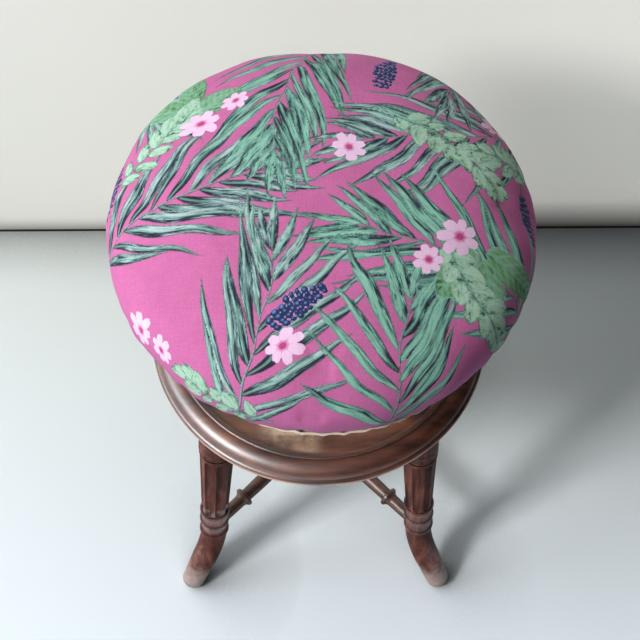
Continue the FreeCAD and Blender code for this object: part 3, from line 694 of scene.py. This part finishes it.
def plain_cloth(name, light, dark, pitch, roughness=0.85, stain=None, corner=0.6):
    """Plain woven cloth with threads, slubs and faint stains, and painted shade in its creases and corners.
    """
    made, net = material(name)
    x, y, z = net.separate(net.object_place())
    weave = net.weave(x, y, pitch)
    around = net.noise(net.combine(x * 300.0, y * 300.0, z * 1500.0), 1.0, 2.0)
    cloud = net.noise(net.combine(x, y, z), 24.0, 3.0, 0.6)
    share = net.smooth(weave * 0.25 + around * 0.6 + cloud * 0.4, 0.25, 0.85)
    colour = net.mix(share, dark, light)
    if stain:
        colour = net.mix(net.smooth(cloud, 0.52, 0.78) * 0.5, colour, stain)
    # Painted shade: darker in creases and corners
    colour = net.mix((1.0 - net.crevice()) * corner, colour, toned(dark, 0.35))
    normal = net.bump(weave * 0.6 + around, 0.35, thread_relief)
    net.shader(colour, roughness, normal, Sheen_Weight=0.1)
    return made


# The cushion's outline
cover_low, cover_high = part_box("seat_cover")
lining_low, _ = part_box("calico_lining")
_, board_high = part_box("seat_board")
foot_height = cover_low.z
girth_height = cover_high.z - seat_crown
side_sweep = (seat_foot_drop ** 2 + seat_side_draw ** 2) / (2 * seat_side_draw)


def crown_centres():
    """Centres of the pole's, shoulder's and girth's arcs, which run smoothly into each other."""
    pole = np.array([0.0, girth_height + seat_crown - crown_pole_radius])
    girth = np.array([seat_radius - crown_girth_radius, girth_height])
    apart = float(np.hypot(*(girth - pole)))
    from_pole = crown_pole_radius - crown_shoulder_radius
    from_girth = crown_shoulder_radius - crown_girth_radius
    along = (apart ** 2 + from_pole ** 2 - from_girth ** 2) / (2 * apart)
    aside = math.sqrt(from_pole ** 2 - along ** 2)
    way = (girth - pole) / apart
    shoulder = pole + way * along + np.array([-way[1], way[0]]) * aside
    return pole, shoulder, girth


def outline_table():
    """Points down the cushion's outline from the pole to the foot, with the length run so far."""
    pole, shoulder, girth = crown_centres()
    turn_at_shoulder = math.atan2(*(shoulder - pole)[::-1])
    turn_at_girth = math.atan2(*(girth - shoulder)[::-1])
    side = np.array([seat_radius - side_sweep, girth_height])
    foot_turn = -math.asin((girth_height - foot_height) / side_sweep)
    runs = ((pole, crown_pole_radius, math.pi / 2, turn_at_shoulder),
            (shoulder, crown_shoulder_radius, turn_at_shoulder, turn_at_girth),
            (girth, crown_girth_radius, turn_at_girth, 0.0),
            (side, side_sweep, 0.0, foot_turn))
    points = []
    for centre, radius, first, last in runs:
        turns = np.linspace(first, last, outline_steps)
        points.append(centre + radius * np.stack([np.cos(turns), np.sin(turns)], 1))
    points = np.concatenate(points)
    points[0, 0] = 0.0
    lengths = np.concatenate([[0.0], np.cumsum(np.hypot(*np.diff(points, axis=0).T))])
    return points, lengths


outline_points, outline_lengths = outline_table()
cover_reach = float(outline_lengths[-1])


# Tones of the wood, dark to light
ring_tones = (sight(44, 20, 14), sight(96, 52, 38), sight(142, 86, 62))
leg_tones = (sight(40, 20, 17), sight(98, 54, 45), sight(146, 92, 78))
rail_tones = (sight(42, 24, 18), sight(86, 53, 40), sight(130, 88, 66))
beech_tones = (sight(150, 112, 76), sight(184, 146, 104), sight(206, 172, 128))
worn_and_lit_patch_tones = (sight(176, 138, 110), sight(228, 200, 172))
fleck_tone = sight(176, 160, 148)
band_tone = sight(206, 150, 112)
toe_tone = sight(184, 170, 164)
rust_tones = (sight(92, 52, 30), sight(56, 36, 26))

# Marks of wear and wax on the wood, and of its painted light and shade: their places, and how far they fade
ring_low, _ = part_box("base_ring")
ring_band = (ring_low.z, ring_low.z + 0.0092)
band_fade = 0.0015
recess_radius = 0.132
recess_fade = 0.008
# Place and spread of the recess patch of worn wood and painted light
patch_place = -0.024
patch_half = 0.034
patch_fade = 0.02
front_toe_height = 0.074
back_toe_height = 0.034
ankle_zone = (0.118, 0.184)
cap_zone = (0.336, 0.372)
zone_fade = 0.006
waxed_side = (-0.05, 0.10)
coated_side = (-0.06, 0.11)
# Where the painted shade on the wood's right side sets in
shaded_side = (0.01, 0.14)
groove_reach = 0.008

# Depths of grain, threads and metal marks, and the threads' pitch
grain_relief = 0.0004
metal_relief = 0.0003
thread_relief = 0.0003
calico_pitch = 0.0009
dust_cloth_pitch = 0.0011

leg_finish = {"gloss": 0.42, "coat": 0.0, "level": 0.025, "groove_open": 0.88, "rubbing": 0.2,
              "waxed_top": 0.9, "waxed_zones": (ankle_zone, cap_zone)}
# The ring carries painted shade on its right side, where its coat is also thin
ring_wood = wood("ring_mahogany", "x", ring_tones, gloss=0.36, coat=1.0, coat_spread=0.45, coat_index=2.3,
                 level=0.3, rubbing=0.25, patch=True, band=ring_band, light_side=0.05)
leg_wood = wood("leg_mahogany", "z", leg_tones, toe_height=front_toe_height, **leg_finish)
back_leg_wood = wood("back_leg_mahogany", "z", leg_tones, toe_height=back_toe_height, **leg_finish)
rail_wood = wood("rail_mahogany", "x", rail_tones, gloss=0.50, coat=0.05, coat_spread=0.42, coat_index=1.7,
                 level=0.15, waxed_top=1.0)
column_wood = wood("column_mahogany", "z", rail_tones, gloss=0.36, coat=0.2)
beech = wood("board_beech", "x", beech_tones, gloss=0.6, coat=0.0)
cast_iron = metal("iron_casting", sight(66, 64, 62), 0.55, 0.85, pitted=0.8, rust=0.5)
bright_steel = metal("spindle_steel", sight(150, 146, 138), 0.36, 1.0, lathe=True, rust=0.35)
fixing_steel = metal("steel_fixings", sight(160, 154, 142), 0.4, 1.0, rust=0.3)
tack_steel = metal("tack_steel", sight(70, 72, 76), 0.35, 1.0, rust=0.4)
calico = plain_cloth("calico", sight(252, 244, 222), sight(228, 214, 184), calico_pitch,
                     stain=sight(214, 190, 146), corner=0.15)
dust_cloth = plain_cloth("dust_cloth", sight(46, 46, 50), sight(24, 24, 28), dust_cloth_pitch, roughness=0.9)
cover_cotton = printed_cotton()

nodes_by_look = (
    (ring_wood, ("base_ring",)),
    (leg_wood, ("leg_front_left", "leg_front_right")),
    (back_leg_wood, ("leg_back_left", "leg_back_right")),
    (rail_wood, ("stretcher_front_left", "stretcher_front_right",
                 "stretcher_back_left", "stretcher_back_right")),
    (column_wood, ("centre_column", "hub_finial")),
    (cast_iron, ("spindle_nut", "seat_spider")),
    (fixing_steel, ("nut_screws", "stop_washer", "stop_nut", "spider_pin", "spider_screws")),
    (bright_steel, ("spindle",)),
    (beech, ("seat_board",)),
    (tack_steel, ("cloth_tacks",)),
)
for look, nodes in nodes_by_look:
    for node in nodes:
        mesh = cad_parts[node].data
        mesh.materials.clear()
        mesh.materials.append(look)


def add_piece(name, points, faces, look):
    mesh = bpy.data.meshes.new(name)
    mesh.from_pydata([tuple(point) for point in points], [], faces)
    mesh.polygons.foreach_set("use_smooth", [True] * len(mesh.polygons))
    mesh.materials.append(look)
    mesh.update()
    made = bpy.data.objects.new(name, mesh)
    bpy.context.scene.collection.objects.link(made)
    return made


def on_outline(reach):
    """Radius and height at a distance down the outline from the pole."""
    return [np.interp(reach, outline_lengths, line) for line in outline_points.T]


def outward(reach):
    """Outward direction of the outline in the radius-height plane."""
    r0, z0 = on_outline(np.clip(reach - outline_probe, 0, cover_reach))
    r1, z1 = on_outline(np.clip(reach + outline_probe, 0, cover_reach))
    length = np.hypot(r1 - r0, z1 - z0)
    return (z0 - z1) / length, (r1 - r0) / length


def disc_grid(count):
    """A square grid bent into a disc: each point's share of the radius and its turn."""
    line = np.linspace(-1, 1, count + 1)
    across, up = np.meshgrid(line, line)
    share = np.maximum(np.abs(across), np.abs(up))
    quarter = math.pi / 4
    with np.errstate(divide="ignore", invalid="ignore"):
        turn = np.where(np.abs(across) >= np.abs(up),
                        quarter * up / across + np.where(across < 0, math.pi, 0.0),
                        2 * quarter - quarter * across / up + np.where(up < 0, math.pi, 0.0))
    turn[share == 0] = 0.0
    return share.ravel(), turn.ravel()


def around_axis(turn, radius, height):
    """Points at their turns about the upright axis."""
    return np.stack([np.cos(turn) * radius, np.sin(turn) * radius, height + 0 * turn], -1)


def over_outline(count):
    """A disc grid laid over the cushion: its points, the way out of each, and where each lies."""
    share, turn = disc_grid(count)
    reach = share * cover_reach
    return around_axis(turn, *on_outline(reach)), around_axis(turn, *outward(reach)), share, turn, reach


def grid_faces(count):
    faces = []
    for row in range(count):
        for column in range(count):
            start = row * (count + 1) + column
            faces.append((start, start + 1, start + count + 2, start + count + 1))
    return faces


def strip_faces(first, second):
    """Faces between two closed rows of points."""
    count = len(first)
    return [(first[i], second[i], second[(i + 1) % count], first[(i + 1) % count]) for i in range(count)]


def rim_of(count):
    """Grid points round the outside, in order anticlockwise."""
    width = count + 1
    side = range(count)
    right = [step * width + count for step in side]
    top = [count * width + count - step for step in side]
    return [*side] + right + top + [(count - step) * width for step in side]


def filled(points, faces, rim):
    """The cushion cloth after it has been blown up a little over its filling."""
    made = add_piece("cloth_trial", points * cloth_spare_share, faces, cover_cotton)
    pins = made.vertex_groups.new(name="pins")
    pins.add([int(index) for index in rim], 1.0, "REPLACE")
    cloth = made.modifiers.new("cloth", "CLOTH")
    for name, value in cotton_feel.items():
        setattr(cloth.settings, name, value)
    cloth.settings.vertex_group_mass = "pins"
    cloth.settings.use_pressure = True
    cloth.settings.uniform_pressure_force = filling_pressure
    cloth.settings.effector_weights.gravity = 0
    cloth.collision_settings.use_collision = False
    for frame_number in range(1, filling_frames + 1):
        bpy.context.scene.frame_set(frame_number)
    evaluated = made.evaluated_get(bpy.context.evaluated_depsgraph_get())
    found = np.zeros(len(points) * 3)
    evaluated.data.vertices.foreach_get("co", found)
    mesh = made.data
    bpy.data.objects.remove(made)
    bpy.data.meshes.remove(mesh)
    bpy.context.scene.frame_set(1)
    return found.reshape(-1, 3)


def lumps(turn, reach, seed):
    """Low rolling lumps of the stuffing: a few waves of chance directions."""
    chance = np.random.default_rng(seed)
    x = np.cos(turn) * reach
    y = np.sin(turn) * reach
    total = np.zeros_like(x)
    for _ in range(lump_waves):
        way = chance.uniform(0, FULL_TURN)
        spacing = lump_spacing * chance.uniform(0.55, 1.5)
        start = chance.uniform(0, FULL_TURN)
        total += np.sin((x * math.cos(way) + y * math.sin(way)) * FULL_TURN / spacing + start)
    return total / lump_waves


def refined(values, count, steps):
    """A square grid's values at more points, smoothly between the old ones."""
    grid = values.reshape(count + 1, count + 1)
    old = np.arange(count + 1)
    new = np.linspace(0, count, count * steps + 1)
    grid = np.stack([np.interp(new, old, row) for row in grid])
    grid = np.stack([np.interp(new, old, column) for column in grid.T]).T
    for _ in range(2 * steps):
        inner = (grid[:-2, 1:-1] + grid[2:, 1:-1] + grid[1:-1, :-2] + grid[1:-1, 2:]) / 4
        grid[1:-1, 1:-1] = (grid[1:-1, 1:-1] + inner) / 2
    return grid.ravel()


def filling_ripples():
    """How far the cloth stands out from the plain outline once it is blown up over its filling."""
    points, out, share, _, _ = over_outline(filling_grid)
    blown = filled(points, grid_faces(filling_grid), rim_of(filling_grid))
    rise = ((blown - points) * out).sum(1)
    rings = np.round(share * filling_grid / 2).astype(int)
    for ring in range(rings.max() + 1):
        those = rings == ring
        rise[those] -= rise[those].mean()
    rise = np.clip(rise * ripple_share, -ripple_cap, ripple_cap)
    return refined(rise, filling_grid, finer_steps)


def tuck_marks(turn, reach):
    """Small hollows where the cover is drawn under at its foot, with a swelling on both sides."""
    chance = np.random.default_rng(cover_seed + 1)
    tucks = [(math.radians(azimuth), 1.0, tall) for azimuth, tall in tuck_shares]
    for _ in range(tuck_count):
        tucks.append((chance.uniform(0, FULL_TURN), chance.uniform(0.3, 0.9), chance.uniform(0.8, 1.4)))
    shift = np.zeros_like(turn)
    for azimuth, deep, tall in tucks:
        near_foot = np.exp(-((cover_reach - reach) / (dimple_height * tall)) ** 2)
        aside = np.abs((turn - azimuth + math.pi) % FULL_TURN - math.pi) * seat_radius
        hollow = np.exp(-(aside / (dimple_width * 0.35)) ** 2)
        swelling = np.exp(-((aside - dimple_width * 0.5) / (dimple_width * 0.4)) ** 2)
        shift += deep * dimple_depth * near_foot * (0.75 * swelling - hollow)
    return shift


def build_cushion():
    """The printed cover over its filling, closed under the board."""
    count = filling_grid * finer_steps
    points, out, share, turn, reach = over_outline(count)
    faces = grid_faces(count)
    rim = rim_of(count)
    shift = lumps(turn, reach, cover_seed) * lump_height
    shift += filling_ripples()
    fade = np.clip((1.0 - share) / 0.10, 0, 1)
    shift *= fade * fade * (3 - 2 * fade)
    shift += tuck_marks(turn, reach)
    points = points + out * (shift + cushion_lift)[:, None]
    flat_x = np.cos(turn) * reach
    flat_y = np.sin(turn) * reach
    stores = draw_print(flat_x, flat_y)
    stores["cloth_place"] = (flat_x, flat_y, np.zeros_like(flat_x))

    ring_turn = turn[rim]
    lip_radius = float(on_outline(cover_reach)[0]) - cover_lap
    board_side = board_high.x + board_clearance
    hollow = board_high.z + pad_hollow_rise
    under = ((lip_radius, foot_height - lip_drop),
             (lip_radius - lip_fold, foot_height + lip_rise),
             (board_side, foot_height + tuck_rise),
             (board_side, board_high.z - pad_corner),
             (board_high.x - pad_corner, hollow),
             (board_high.x / 2, hollow))
    all_points = [points]
    last = rim
    total = len(points)
    for r, z in under:
        all_points.append(around_axis(ring_turn, r, z))
        ring = list(range(total, total + len(rim)))
        faces += strip_faces(last, ring)
        last = ring
        total += len(rim)
    all_points.append(np.array([[0.0, 0.0, hollow]]))
    faces += [(last[index], total, last[(index + 1) % len(rim)]) for index in range(len(rim))]
    made = add_piece("stuffed_seat", np.concatenate(all_points), faces, cover_cotton)
    for name, parts in stores.items():
        values = np.stack(parts, 1)
        rows = [values] + [values[rim]] * len(under) + [values[:1] * 0]
        held = made.data.attributes.new(name, "FLOAT_VECTOR", "POINT")
        held.data.foreach_set("vector", np.concatenate(rows).ravel())
    return made


def build_lining_edge():
    """The calico under-cover's edge, which comes down past the cover and folds under the board."""
    sides = 192
    top = foot_height + lining_overlap
    low = lining_low.z
    out = board_high.x + lining_proud
    hem = board_high.x - hem_width
    cloth = lining_cloth
    corner = lining_corner
    outline = ((out - cloth * 1.5, top), (out, top - cloth * 0.75), (out, low + corner),
               (out - cloth, low + cloth * 1.25), (out - corner, low), (hem, low),
               (hem - cloth / 2, low + cloth / 2), (hem, low + cloth),
               (out - corner - cloth / 4, low + cloth), (out - cloth * 2, low + cloth * 2.5),
               (out - cloth * 1.25, low + corner + cloth / 2))
    hem_points = (5, 6, 7)
    outer_points = (0, 1, 2)
    points = []
    for step in range(sides):
        turn = FULL_TURN * step / sides
        off = (turn - flap_azimuth + math.pi) % FULL_TURN - math.pi
        flap = max(0.0, 1.0 - (off / flap_half_turn) ** 2) ** 0.5
        proud = flap * flap_reach * (0.88 + 0.12 * math.sin(turn * 67))
        ripple = math.sin(turn * 31 + math.sin(turn * 5) * 2) * edge_ripple
        for index, (r, z) in enumerate(outline):
            out_by = 0.0 if index in hem_points else proud
            lift = ripple if index in outer_points else 0.0
            points.append(around_axis(turn, r + out_by, z + lift))
    faces = []
    count = len(outline)
    for step in range(sides):
        here = step * count
        there = (step + 1) % sides * count
        faces += strip_faces(range(here, here + count), range(there, there + count))
    return add_piece("calico_edge", points, faces, calico)


def build_dust_cloth():
    """A flat ring of black cloth tacked under the board, a little slack between its tacks."""
    low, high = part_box("bottom_cloth")
    _, spider_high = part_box("seat_spider")
    outer = high.x
    rings = 40
    sides = tack_count * 8
    points = []
    for ring in range(rings + 1):
        r = cloth_inner + (outer - cloth_inner) * ring / rings
        for step in range(sides):
            turn = FULL_TURN * step / sides
            scallop = cloth_scallop * math.cos(turn * tack_count) if ring == rings else 0.0
            from_hub = max(0.0, min(1.0, (r - spider_high.x) / slack_from_hub))
            from_edge = max(0.0, min(1.0, (outer - r) / slack_from_edge))
            sag = cloth_sag * from_hub * from_edge * (0.75 + 0.25 * math.cos(turn * 4 + 0.4))
            points.append(around_axis(turn, r + scallop, low.z - sag))
    faces = []
    for start in range(0, rings * sides, sides):
        faces += strip_faces(range(start + sides, start + 2 * sides), range(start, start + sides))
    made = add_piece("dust_cloth", points, faces, dust_cloth)
    thick = made.modifiers.new("thick", "SOLIDIFY")
    thick.thickness = cloth_thickness
    thick.offset = -1.0
    return made, outer


cushion = build_cushion()
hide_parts("seat_cover", "stuffing_pad")
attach(cushion, "seat")

lining_edge = build_lining_edge()
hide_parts("calico_lining")
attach(lining_edge, "seat")

under_cloth, cloth_outer = build_dust_cloth()
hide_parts("bottom_cloth")
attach(under_cloth, "seat")


# Floor and wall
floor_reach = 6.0
wall_height = 4.0
wall_place = 0.3444
wall_turn_share = 0.0085
gap_height = 0.0068
gap_depth = 0.001
# Heights of the painted shade at the wall's foot, left and right
foot_shade_left = 0.040
foot_shade_right = 0.072
paint_relief = 0.0005

# Where the floor's and wall's painted light, shade and glow change: places along each way, in metres
right_fade = (0.50, 1.6)
left_fade = (-1.5, -0.45)
front_fade = (0.30, -0.45)
foot_sides = (-0.30, 0.30)
glow_sides = (-0.5, 0.5)
glow_front = (0.0, -0.36)

# Painted contact shadow: the floor is darker beside what stands on it, on the side away from the window
contact_reach = 0.11
contact_dark_share = 0.97
window_way = (-0.75, -0.35, 0.55)


def paint(name, colour, spread, glow=0.0, front=None, footed=False, contact_shadowed=False):
    """A plain painted surface with faint clouds, seen from its front alone, with painted shade towards its
    far sides, and painted light, shade and glow where its arguments ask.
    """
    made, net = material(name)
    place = net.object_place()
    cloud = net.noise(place, 1.6, 2.0)
    fine = net.noise(place, 60.0, 4.0, 0.6)
    aside, back, up = net.separate(place)
    shade = 1.0 + spread * (cloud - 0.5) + spread * 0.35 * (fine - 0.5)
    # Painted shade: darker towards the far right and far left
    shade = shade * net.span(aside, *right_fade, 1.0, 0.30) * net.span(aside, *left_fade, 0.50, 1.0)
    # Painted light: the floor is lighter and bluer towards the front
    if front:
        colour = net.mix(net.span(back, *front_fade), colour, front)
    # Painted shade at the wall's foot, taller and deeper on the right
    if footed:
        left = net.smooth(up, -foot_shade_left / 2, foot_shade_left)
        right = net.span(up, 0.0, foot_shade_right)
        shade = shade * (left + (right - left) * net.span(aside, *foot_sides))
    # Painted contact shadow beside what stands on the floor
    if contact_shadowed:
        open_share = net.openness(contact_reach, net.combine(*window_way))
        shade = shade * net.span(open_share, 0.48, 0.97, 1.0 - contact_dark_share, 1.0)
    tone = net.times(colour, shade)
    body = net.shader(tone, 0.85, net.bump(fine, 0.05, paint_relief), Specular_IOR_Level=0.15)
    # Painted glow: seen by the camera and in reflections, stronger to the right, and on the floor towards
    # the front
    if glow:
        camera_ray, glossy_ray, clear_ray = [net.wired("LightPath", "Is %s Ray" % kind)
                                             for kind in ("Camera", "Glossy", "Transmission")]
        lift = net.span(aside, *glow_sides, 0.0, glow)
        if front:
            lift = lift * net.span(back, *glow_front)
        net.feed(body.inputs["Emission Color"], tone)
        net.feed(body.inputs["Emission Strength"], (camera_ray + glossy_ray + clear_ray) * lift)
    from_behind = net.wired("NewGeometry", "Backfacing")
    clear = net.wired("BsdfTransparent")
    either = net.wired("MixShader", 0, enumerate((from_behind, Wire(net, body.outputs[0]), clear)))
    out = [node for node in net.tree.nodes if node.type == "OUTPUT_MATERIAL"][0]
    net.feed(out.inputs["Surface"], either)
    return made


def flat_sheet(name, first_edge, last_edge, look, turn=0.0):
    """A flat piece of stage across the view between two edges, given by their (y, z) places."""
    (first_y, first_z), (last_y, last_z) = first_edge, last_edge
    corners = [(-floor_reach, first_y - turn, first_z), (floor_reach, first_y + turn, first_z),
               (floor_reach, last_y + turn, last_z), (-floor_reach, last_y - turn, last_z)]
    made = add_piece(name, corners, [(0, 1, 2, 3)], look)


floor_paint = paint("floor_paint", sight(212, 217, 214), 0.03, glow=0.26, front=sight(234, 244, 255),
                    contact_shadowed=True)
wall_paint = paint("wall_paint", sight(238, 237, 229), 0.02, glow=0.34, footed=True)
# Painted shadow: a dark sheet in the gap under the wall's foot
gap_shadow_paint = paint("gap_painted_shadow", sight(44, 40, 34), 0.02)
gap_place = wall_place + gap_depth
flat_sheet("floor", (-floor_reach, 0), (floor_reach, 0), floor_paint)
wall_turn = floor_reach * wall_turn_share
flat_sheet("wall", (wall_place, gap_height), (wall_place, wall_height), wall_paint, wall_turn)
flat_sheet("wall_gap_shadow", (gap_place, 0), (gap_place, gap_height * 2), gap_shadow_paint, wall_turn)

# Light: a dim sky, brighter on the left, and two windows on the left
sky_colour = (0.93, 0.96, 1.0, 1.0)
sky_left = 0.22
sky_right = 0.04
lamp_target = (0.0, 0.0, 0.35)
# name, place, width and height, watts, colour
lamps = (
    ("window", (-1.62, -1.06, 2.05), (0.52, 0.48), 56, (1.0, 0.99, 0.98)),
    ("side_window", (-2.0, 0.10, 1.42), (0.9, 0.8), 17, (0.82, 0.90, 1.0)),
)
world = bpy.data.worlds.new("studio")
bpy.context.scene.world = world
world.use_nodes = True
sky = world.node_tree.nodes["Background"]
sky_net = Net(world.node_tree)
to_right = sky_net.separate(sky_net.wired("TexCoord", "Generated"))[0]
sky.inputs["Color"].default_value = sky_colour
sky_net.feed(sky.inputs["Strength"], sky_net.span(to_right, -0.8, 0.8, sky_left, sky_right))

for name, place, size, power, colour in lamps:
    lamp = bpy.data.lights.new(name, "AREA")
    lamp.shape = "RECTANGLE"
    lamp.size, lamp.size_y = size
    lamp.energy = power
    lamp.color = colour
    holder = bpy.data.objects.new(name, lamp)
    bpy.context.scene.collection.objects.link(holder)
    holder.location = place
    holder.rotation_euler = (Vector(lamp_target) - Vector(place)).to_track_quat("-Z", "Y").to_euler()

# Camera
lens = bpy.data.cameras.new("camera")
lens.lens = camera_lens
lens.sensor_width = camera_sensor
camera = bpy.data.objects.new("camera", lens)
bpy.context.scene.collection.objects.link(camera)
camera.location = camera_place
camera_axes = Matrix.Rotation(camera_tilt, 3, "X") @ Matrix.Rotation(-camera_turn, 3, "Y")
camera.rotation_euler = camera_axes.to_euler()
bpy.context.scene.camera = camera
bpy.context.scene.view_settings.view_transform = "Standard"
